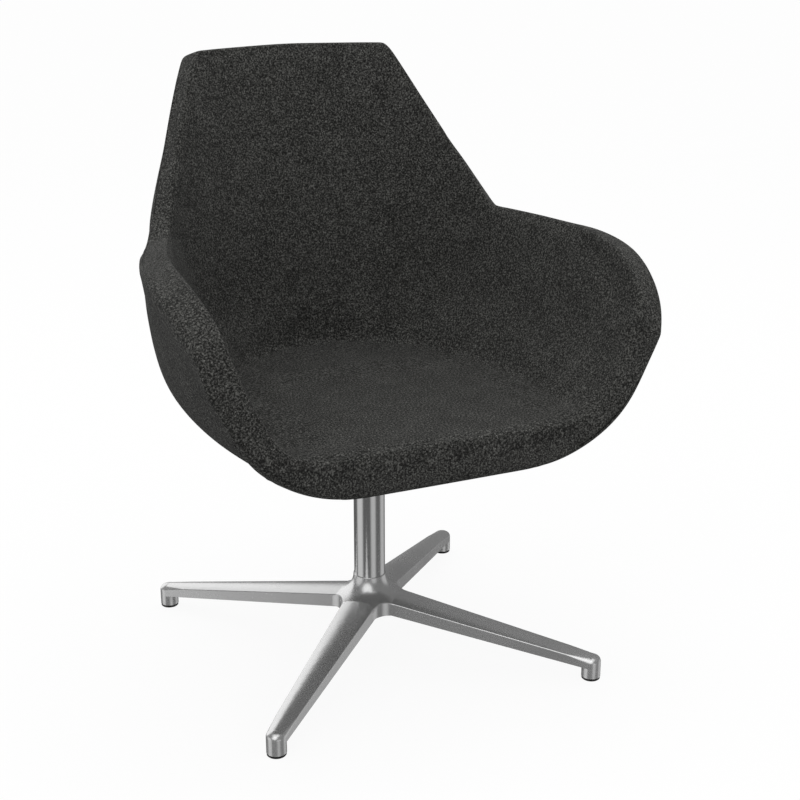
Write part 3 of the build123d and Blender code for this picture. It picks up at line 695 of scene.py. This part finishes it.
@dataclass
class TubUpholstery:
    """Cloth panels of the tub: inner face, rim band and outer face, over the foam and shell.

    The panels are grids with across steps from left to right, arm_steps and back_steps up each side and
    band_steps over the band. The plump sizes say how far the outer face and the band stand out, all over
    and low down, and the fades between which heights each of them ends.
    """

    cloth: bpy.types.Material
    filling: Filling = Filling()
    tuck: Tuck = Tuck()
    marks: RimMarks = RimMarks()
    across: int = 92
    arm_steps: int = 54
    back_steps: int = 38
    band_steps: int = 6
    settle_rounds: int = 30
    settle_steps: int = 10
    settle_last: int = 4
    inner_round: float = 0.0045
    outer_round: float = 0.0090
    edge_steps: int = 4
    cloth_thickness: float = 0.0016
    fill: float = 0.85
    sharp: float = math.radians(58)
    crease: float = math.radians(50)
    bucket: tuple[float, float, float] = (0.0, -0.02, 0.62)
    facing: float = 0.12
    edge_face: float = 2e-5
    plate_span: Span = (0.100, 0.160)
    plate_top: float = 0.36
    nose_reach: float = 0.110
    nose_steps: int = 24
    nose_ease: float = 0.070
    corner_ease: float = 0.040
    ease_steps: int = 40
    plump_all: float = 0.0026
    plump_low: float = 0.0042
    plump_steps: int = 24
    plump_fade: Span = (0.66, 0.72)
    low_fade: Span = (0.39, 0.48)
    corners: list[tuple[Points, float]] = field(default_factory=list)

    def target(self, nodes: tuple[str, ...], inwards: bool) -> bpy.types.Object:
        """Copy the side of some covers that faces into or away from the bucket.

        Args:
            nodes: names of the covers.
            inwards: True for the side that faces the sitter.

        Returns:
            A helper object, removed after use.
        """
        mesh = solids(nodes, weld=True)
        middle = Vector(self.bucket)
        sign = 1.0 if inwards else -1.0

        def turned_away(face: bmesh.types.BMFace) -> bool:
            inside = (middle - face.calc_center_median()).normalized()
            return sign * face.normal.dot(inside) < self.facing

        bmesh.ops.delete(mesh, geom=[face for face in mesh.faces if turned_away(face)], context="FACES")
        data = bpy.data.meshes.new("helper")
        mesh.to_mesh(data)
        mesh.free()
        helper = bpy.data.objects.new("helper", data)
        bpy.context.scene.collection.objects.link(helper)
        return helper

    def regions(self, mesh: bmesh.types.BMesh) -> list[list[bmesh.types.BMFace]]:
        """Faces of a mesh in groups that meet without a sharp edge, the largest group last."""
        groups: list[list[bmesh.types.BMFace]] = []
        seen: set[int] = set()
        for seed in mesh.faces:
            if seed.index in seen:
                continue
            seen.add(seed.index)
            group, stack = [], [seed]
            while stack:
                face = stack.pop()
                group.append(face)
                for edge in face.edges:
                    if len(edge.link_faces) == 2 and edge.calc_face_angle(0.0) < self.sharp:
                        fresh = [near for near in edge.link_faces if near.index not in seen]
                        seen.update(near.index for near in fresh)
                        stack.extend(fresh)
            groups.append(group)
        return sorted(groups, key=lambda group: sum(face.calc_area() for face in group))

    @staticmethod
    def outline(mesh: bmesh.types.BMesh, faces: list[bmesh.types.BMFace]) -> list[Points]:
        """Closed loops of points round some faces of a mesh, the longest loop last."""
        chosen = {face.index for face in faces}
        links: dict[int, list[int]] = {}
        for edge in mesh.edges:
            inside = [face.index in chosen for face in edge.link_faces]
            if len(inside) == 2 and inside[0] != inside[1]:
                a, b = (v.index for v in edge.verts)
                links.setdefault(a, []).append(b)
                links.setdefault(b, []).append(a)
        mesh.verts.ensure_lookup_table()
        loops: list[Points] = []
        left = set(links)
        while left:
            ring = [min(left)]
            left.discard(ring[0])
            while ahead := [v for v in links[ring[-1]] if v in left]:
                ring.append(ahead[0])
                left.discard(ahead[0])
            loops.append(np.array([mesh.verts[i].co[:] for i in ring]))
        return sorted(loops, key=len)

    def rims(self) -> tuple[Rim, Rim]:
        """Find the rim band's inner and outer edges on the rigid model."""
        mesh = solids(Panel.BAND.value[1], weld=True)
        mesh.faces.ensure_lookup_table()
        covers, inside = tree(INNER_COVERS + OUTER_COVERS), tree(INNER_COVERS)

        def away(group: list[bmesh.types.BMFace]) -> float:
            return np.mean([covers.find_nearest(face.calc_center_median())[3] for face in group])

        face = max(self.regions(mesh)[-2:], key=away)
        loops = self.outline(mesh, face)[-2:]
        mesh.free()
        loops.sort(key=lambda ring: np.mean([inside.find_nearest(Vector(p))[3] for p in ring]))
        counts = (self.across, self.arm_steps, self.back_steps)
        inner, outer = (Rim.sort(loop, counts, self.marks) for loop in loops)
        return tuple(rim.round_noses(self.nose_reach, self.nose_steps) for rim in (inner, outer))

    @staticmethod
    def grid(name: str, rows: Points) -> bpy.types.Object:
        """Add a grid and lay it on rows of points.

        Args:
            name: the new object's name.
            rows: points by row and column.

        Returns:
            The grid object.
        """
        down, over = rows.shape[0] - 1, rows.shape[1] - 1
        bpy.ops.object.select_all(action="DESELECT")
        bpy.ops.mesh.primitive_grid_add(x_subdivisions=over, y_subdivisions=down, size=1.0)
        obj = bpy.context.object
        obj.name = name
        flat = coords(obj)
        column = np.rint((flat[:, 0] + 0.5) * over).astype(int)
        row = np.rint((flat[:, 1] + 0.5) * down).astype(int)
        set_coords(obj, rows[row, column])
        inside = (column > 0) & (column < over) & (row > 0) & (row < down)
        mark(obj, "inside", np.nonzero(inside)[0])
        return obj

    def settle(self, obj: bpy.types.Object, helper: bpy.types.Object) -> None:
        """Let a panel slide into an even lie on the surface below it.

        Args:
            obj: the panel.
            helper: the surface.
        """
        for _ in range(self.settle_rounds):
            relax(obj, self.settle_steps, "inside")
            apply(
                obj,
                "SHRINKWRAP",
                target=helper,
                wrap_method="NEAREST_SURFACEPOINT",
                wrap_mode="ON_SURFACE",
                vertex_group="inside",
            )
        relax(obj, self.settle_last, "inside")

    def lay_panels(self) -> dict[Panel, bpy.types.Object]:
        """Lay the three panels between and beside the rim band's edges."""
        inner_rim, outer_rim = self.rims()
        for rim in (inner_rim, outer_rim):
            for side in (rim.left, rim.right):
                self.corners.append((side[0], self.nose_ease))
                self.corners.extend((side[place], self.corner_ease) for place in (self.arm_steps, -1))
        pieces = {}
        for panel, rim, nodes in (
            (Panel.INNER, inner_rim, INNER_COVERS),
            (Panel.OUTER, outer_rim, OUTER_COVERS),
        ):
            helper = self.target(nodes, panel is Panel.INNER)
            pieces[panel] = self.grid(panel.name.lower(), rim.patch())
            self.settle(pieces[panel], helper)
            bpy.data.objects.remove(helper)
        start, end = (np.concatenate((ring, ring[:1])) for ring in (inner_rim.closed(), outer_rim.closed()))
        share = np.linspace(0, 1, self.band_steps + 1)[:, None, None]
        pieces[Panel.BAND] = self.grid("band", start[None] * (1 - share) + end[None] * share)
        for panel, piece in pieces.items():
            piece.data.materials.clear()
            piece.data.materials.append(bpy.data.materials.new(panel.name))
        return pieces

    def panel_mesh(self) -> bpy.types.Object:
        """Join the panels along the rim's edges and round those edges."""
        pieces = self.lay_panels()
        tub = pieces[Panel.INNER]
        only(tub)
        for piece in pieces.values():
            piece.select_set(True)
        bpy.ops.object.join()
        only(tub)
        bpy.ops.object.mode_set(mode="EDIT")
        bpy.ops.mesh.select_all(action="SELECT")
        bpy.ops.mesh.remove_doubles(threshold=WELD / 2)
        bpy.ops.mesh.normals_make_consistent(inside=False)
        bpy.ops.object.mode_set(mode="OBJECT")
        for panel, width in ((Panel.INNER, self.inner_round), (Panel.OUTER, self.outer_round)):
            self.pick_edges(tub, panel)
            bpy.ops.object.mode_set(mode="EDIT")
            bpy.ops.mesh.bevel(offset=width, segments=self.edge_steps, affect="EDGES", clamp_overlap=False)
            bpy.ops.object.mode_set(mode="OBJECT")
        return tub

    @staticmethod
    def slots(tub: bpy.types.Object) -> dict[Panel, int]:
        """Material slot of each panel in the joined mesh."""
        return {Panel[slot.material.name]: number for number, slot in enumerate(tub.material_slots)}

    def pick_edges(self, tub: bpy.types.Object, panel: Panel) -> None:
        """Select the edges between one panel and the rim band."""
        bpy.context.tool_settings.mesh_select_mode = (False, True, False)
        slots = self.slots(tub)
        pair = {slots[panel], slots[Panel.BAND]}
        mesh = bmesh.new()
        mesh.from_mesh(tub.data)
        for item in (*mesh.verts, *mesh.edges, *mesh.faces):
            item.select = False
        for edge in mesh.edges:
            edge.select_set({face.material_index for face in edge.link_faces} == pair)
        mesh.to_mesh(tub.data)
        mesh.free()

    def stuff(self, tub: bpy.types.Object) -> None:
        """Press the filling out against the cloth, held along the edges and round the seat plate."""
        places = coords(tub)
        band = self.slots(tub)[Panel.BAND]
        held: set[int] = set()
        for face in tub.data.polygons:
            if face.material_index == band or face.area < self.edge_face:
                held.update(face.vertices)
        under = (np.abs(places[:, :2]).max(1) < self.plate_span[0]) & (places[:, 2] < self.plate_top)
        held.update(int(i) for i in np.nonzero(under)[0])
        self.filling.press(tub, held)

    def soften(self, tub: bpy.types.Object) -> None:
        """Round the cloth over the noses, the notches and the top corners."""
        places = coords(tub)
        share = np.max([nearness(places, spot, reach) for spot, reach in self.corners], axis=0)
        group = tub.vertex_groups.new(name="corners")
        for i in np.nonzero(share > 0.01)[0]:
            group.add([int(i)], float(share[i]), "REPLACE")
        relax(tub, self.ease_steps, group.name)

    def plump(self, tub: bpy.types.Object) -> None:
        """Let the outer face and the band stand out over their padding, clear of the seat plate."""
        places = coords(tub)
        count = len(places)
        inner = self.slots(tub)[Panel.INNER]
        share = np.zeros(count)
        for face in tub.data.polygons:
            if face.material_index != inner:
                share[list(face.vertices)] = 1.0
        ends = np.zeros(len(tub.data.edges) * 2, dtype=int)
        tub.data.edges.foreach_get("vertices", ends)
        one, two = ends.reshape(-1, 2).T
        joined = np.bincount(ends, minlength=count)
        for _ in range(self.plump_steps):
            near = np.bincount(one, share[two], count) + np.bincount(two, share[one], count)
            share = 0.5 * share + 0.5 * near / joined
        outwards = np.zeros(count * 3)
        tub.data.vertex_normals.foreach_get("vector", outwards)
        x, y, z = places.T
        size = self.plump_all * (1 - fade(z, self.plump_fade)) + self.plump_low * (1 - fade(z, self.low_fade))
        clear = fade(np.maximum(np.abs(x), np.abs(y)), self.plate_span)
        set_coords(tub, places + outwards.reshape(-1, 3) * (share * clear * size)[:, None])

    def press_seat(self, tub: bpy.types.Object) -> None:
        """Form the tuck line on the inner panel."""
        number = self.slots(tub)[Panel.INNER]
        mesh = bmesh.new()
        mesh.from_mesh(tub.data)
        others = [face for face in mesh.faces if face.material_index != number]
        bmesh.ops.delete(mesh, geom=others, context="FACES_ONLY")
        surface = BVHTree.FromBMesh(mesh)
        mesh.free()
        faces = (face for face in tub.data.polygons if face.material_index == number)
        inner = sorted({v for face in faces for v in face.vertices})
        places = coords(tub)
        places[inner] = self.tuck.press(places[inner], surface)
        set_coords(tub, places)

    def part(self, tub: bpy.types.Object) -> dict[Panel, bpy.types.Object]:
        """Separate the finished mesh into its panels."""
        only(tub)
        bpy.ops.object.mode_set(mode="EDIT")
        bpy.ops.mesh.select_all(action="SELECT")
        bpy.ops.mesh.separate(type="MATERIAL")
        bpy.ops.object.mode_set(mode="OBJECT")
        return {Panel[obj.data.materials[0].name]: obj for obj in bpy.context.selected_objects}

    def build(self) -> list[bpy.types.Object]:
        """Make the three panels.

        Returns:
            Inner panel, rim band and outer panel.
        """
        tub = self.panel_mesh()
        self.stuff(tub)
        apply(tub, "SUBSURF", levels=1, render_levels=1, boundary_smooth="PRESERVE_CORNERS")
        self.soften(tub)
        self.plump(tub)
        self.press_seat(tub)
        made = self.part(tub)
        for panel in Panel:
            obj = made[panel]
            obj.name, nodes = panel.value
            obj.vertex_groups.clear()
            obj.data.materials.clear()
            obj.data.materials.append(self.cloth)
            apply(obj, "SOLIDIFY", thickness=self.cloth_thickness, offset=-1.0, use_even_offset=False)
            only(obj)
            bpy.ops.object.shade_smooth_by_angle(angle=self.crease)
            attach(obj, Body.SEAT.value)
            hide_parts(*nodes)
            LOG.info("%s: %d faces", obj.name, len(obj.data.polygons))
        return [made[panel] for panel in Panel]


def dress(nodes: tuple[str, ...], finish: SatinMetal | Moulded) -> None:
    """Give rigid pieces their finish.

    Args:
        nodes: names of the pieces.
        finish: the finish.
    """
    material = finish.material()
    for name in nodes:
        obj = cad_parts[name]
        if not obj.material_slots:
            obj.data.materials.append(material)
        for slot in obj.material_slots:
            slot.material = material
        LOG.info("dressed %s in %s", name, material.name)


def numbered(*kinds: str, count: int = 4) -> tuple[str, ...]:
    """Names of the pieces that come in sets."""
    return tuple(f"{kind}_{n}" for kind in kinds for n in range(1, count + 1))


@dataclass(frozen=True)
class SwivelBase:
    """Star base, column, swivel and seat plate, which keep their rigid shapes."""

    casting: SatinMetal = SatinMetal("satin_casting", 0.78, 0.26, 240.0, relief=0.02, metallic=0.80)
    tube: SatinMetal = SatinMetal("drawn_tube", 0.75, 0.19, 900.0, relief=0.03, scale=(1.0, 1.0, 0.02))
    ground: SatinMetal = SatinMetal("ground_steel", 0.5, 0.2, 700.0)
    plated: SatinMetal = SatinMetal("plated_steel", 0.48, 0.32, 500.0)
    nylon: Moulded = Moulded("black_nylon", grey(0.018), grey(0.010), 0.55)
    coat: Moulded = Moulded("black_coat", grey(0.022), grey(0.014), 0.5)
    bearing: Moulded = Moulded("bearing_plastic", (0.66, 0.63, 0.55), (0.58, 0.55, 0.47), 0.45)

    def dress(self) -> None:
        """Give each metal and plastic piece its finish."""
        dress(("star_base",), self.casting)
        dress(("column_tube",), self.tube)
        dress(("lower_race", "upper_race", "spindle", "keeper_clip", "keeper_washer"), self.ground)
        dress(numbered("plate_screw", "tee_nut"), self.plated)
        dress(numbered("glide") + ("hub_plug",), self.nylon)
        dress(("seat_plate", "seat_hub"), self.coat)
        dress(("upper_bush", "lower_bush", "thrust_ring"), self.bearing)


@dataclass(frozen=True)
class HiddenCore:
    """Moulded shell under the upholstery."""

    ply: Moulded = Moulded(
        "moulded_ply", (0.42, 0.28, 0.15), (0.30, 0.19, 0.10), 0.6, grain=60.0, scale=(1.0, 6.0, 6.0)
    )

    def dress(self) -> None:
        """Give the shell its finish."""
        dress(("structural_shell",), self.ply)


def direction(side: float, rise: float) -> tuple[float, float, float]:
    """Unit vector from the chair, by the angle from its front and the angle over the horizon."""
    return math.sin(side) * math.cos(rise), -math.cos(side) * math.cos(rise), math.sin(rise)


def place_object(name: str, data: Any, place: Vector, way: Vector) -> bpy.types.Object:
    """Put a lamp or camera at a place, looking along a way."""
    obj = bpy.data.objects.new(name, data)
    obj.location = place
    obj.rotation_euler = way.to_track_quat("-Z", "Y").to_euler()
    bpy.context.scene.collection.objects.link(obj)
    return obj


@dataclass(frozen=True)
class SoftBox:
    """A pale panel of the studio, as metal shows it.

    The turn is counted from the camera's side towards its right, and the rise from the horizon, both in
    degrees. The spread is the half angle of the even middle and of the soft edge.
    """

    turn: float
    rise: float
    spread: Span
    strength: float

    def glow(self, r: Recipe, way: Wire, azimuth: float) -> Wire:
        """Add the panel to the world.

        Args:
            r: the world's recipe.
            way: the direction looked in.
            azimuth: the camera's side of the chair.

        Returns:
            The panel's light in that direction.
        """
        middle = direction(azimuth + math.radians(self.turn), math.radians(self.rise))
        near = r.node(
            "ShaderNodeVectorMath", {"operation": "DOT_PRODUCT"}, {0: way, 1: middle}, output="Value"
        )
        even, edge = (math.cos(math.radians(angle)) for angle in self.spread)
        return r.node(
            "ShaderNodeMapRange",
            {"interpolation_type": "SMOOTHSTEP"},
            {"Value": near, "From Min": edge, "From Max": even, "To Min": 0.0, "To Max": self.strength},
        )


@dataclass(frozen=True)
class Lamp:
    """A square soft lamp, in watts and metres. Metal shows the studio's soft boxes instead of it."""

    name: str
    place: tuple[float, float, float]
    power: float
    size: float = 1.8

    def hang(self, aim: Vector) -> None:
        """Hang the lamp so that it faces a point."""
        data = bpy.data.lights.new(self.name, "AREA")
        data.shape = "SQUARE"
        data.size = self.size
        data.energy = self.power
        place = Vector(self.place)
        place_object(self.name, data, place, aim - place).visible_glossy = False


@dataclass(frozen=True)
class Studio:
    """Pale floor, soft light and the camera."""

    eye: tuple[float, float, float] = (-0.8109, -1.8500, 1.0680)
    azimuth: float = math.radians(-24.93)
    elevation: float = math.radians(18.91)
    lens: float = 68.15
    sensor: float = 36.0
    sky: float = 0.82
    shadow_share: float = 0.09
    floor_size: float = 60.0
    floor_tone: float = 0.45
    surround: float = 0.13
    aim: tuple[float, float, float] = (0.0, 0.0, 0.45)
    boxes: tuple[SoftBox, ...] = (
        SoftBox(-140, 17, (24, 36), 1.00),
        SoftBox(-74, -15, (16, 32), 0.55),
        SoftBox(30, -18, (10, 24), 0.42),
        SoftBox(114, -18, (12, 30), 0.38),
        SoftBox(-15, 26, (16, 34), 1.00),
        SoftBox(0, 70, (18, 36), 0.85),
    )
    lamps: tuple[Lamp, ...] = (
        Lamp("key", (-2.2, -1.6, 2.8), 12.0),
        Lamp("fill", (2.4, -1.2, 1.6), 2.5),
        Lamp("top", (0.2, 0.6, 3.2), 18.0),
    )

    def floor(self) -> None:
        """Lay the floor, which is white to the eye but for the chair's shadow, and which metal doesn't show."""
        bpy.ops.object.select_all(action="DESELECT")
        bpy.ops.mesh.primitive_plane_add(size=self.floor_size, location=(0, 0, 0))
        obj = bpy.context.object
        obj.name = "floor"
        r = Recipe.material("pale_floor")
        seen = r.ray("Is Camera Ray")
        tone = seen * (1 - self.floor_tone) + self.floor_tone
        paint = r.node("ShaderNodeBsdfDiffuse", inputs={"Color": tone})
        white = r.glow("Emission", (*WHITE, 1.0), 1.0)
        pale = r.mix(seen * (1 - self.shadow_share), paint, white)
        clear = r.node("ShaderNodeBsdfTransparent")
        r.output("Material", r.mix(r.ray("Is Glossy Ray"), pale, clear))
        obj.data.materials.append(r.owner)

    def world(self) -> None:
        """Even soft light from all round, white to the eye, with soft boxes for the metal to show."""
        world = bpy.data.worlds.new("studio")
        bpy.context.scene.world = world
        world.use_nodes = True
        r = Recipe(world.node_tree)
        way = r.node("ShaderNodeTexCoord", output="Generated")
        shown: Any = self.surround
        for box in self.boxes:
            shown = box.glow(r, way, self.azimuth) + shown
        soft = r.glow("Background", (*WHITE, 1.0), self.sky)
        room = r.mix(r.ray("Is Glossy Ray"), soft, r.glow("Background", shown, 1.0))
        white = r.glow("Background", (*WHITE, 1.0), 1.0)
        r.output("World", r.mix(r.ray("Is Camera Ray"), room, white))

    def camera(self) -> None:
        """Set the camera at the photograph's place."""
        data = bpy.data.cameras.new("camera")
        data.lens = self.lens
        data.sensor_width = self.sensor
        back = Vector(direction(self.azimuth, self.elevation))
        bpy.context.scene.camera = place_object("camera", data, Vector(self.eye), -back)

    def build(self) -> None:
        """Set up floor, light and camera."""
        bpy.context.scene.view_settings.view_transform = "Standard"
        self.floor()
        self.world()
        for lamp in self.lamps:
            lamp.hang(Vector(self.aim))
        self.camera()


def main() -> None:
    """Build the chair and the studio."""
    logging.basicConfig(level=logging.INFO, format="%(name)s: %(message)s")
    SwivelBase().dress()
    HiddenCore().dress()
    for piece in TubUpholstery(cloth=HeatherCloth().material()).build():
        LOG.info("piece %s", piece.name)
    Studio().build()
    bpy.context.view_layer.update()


if __name__ == "__main__":
    main()
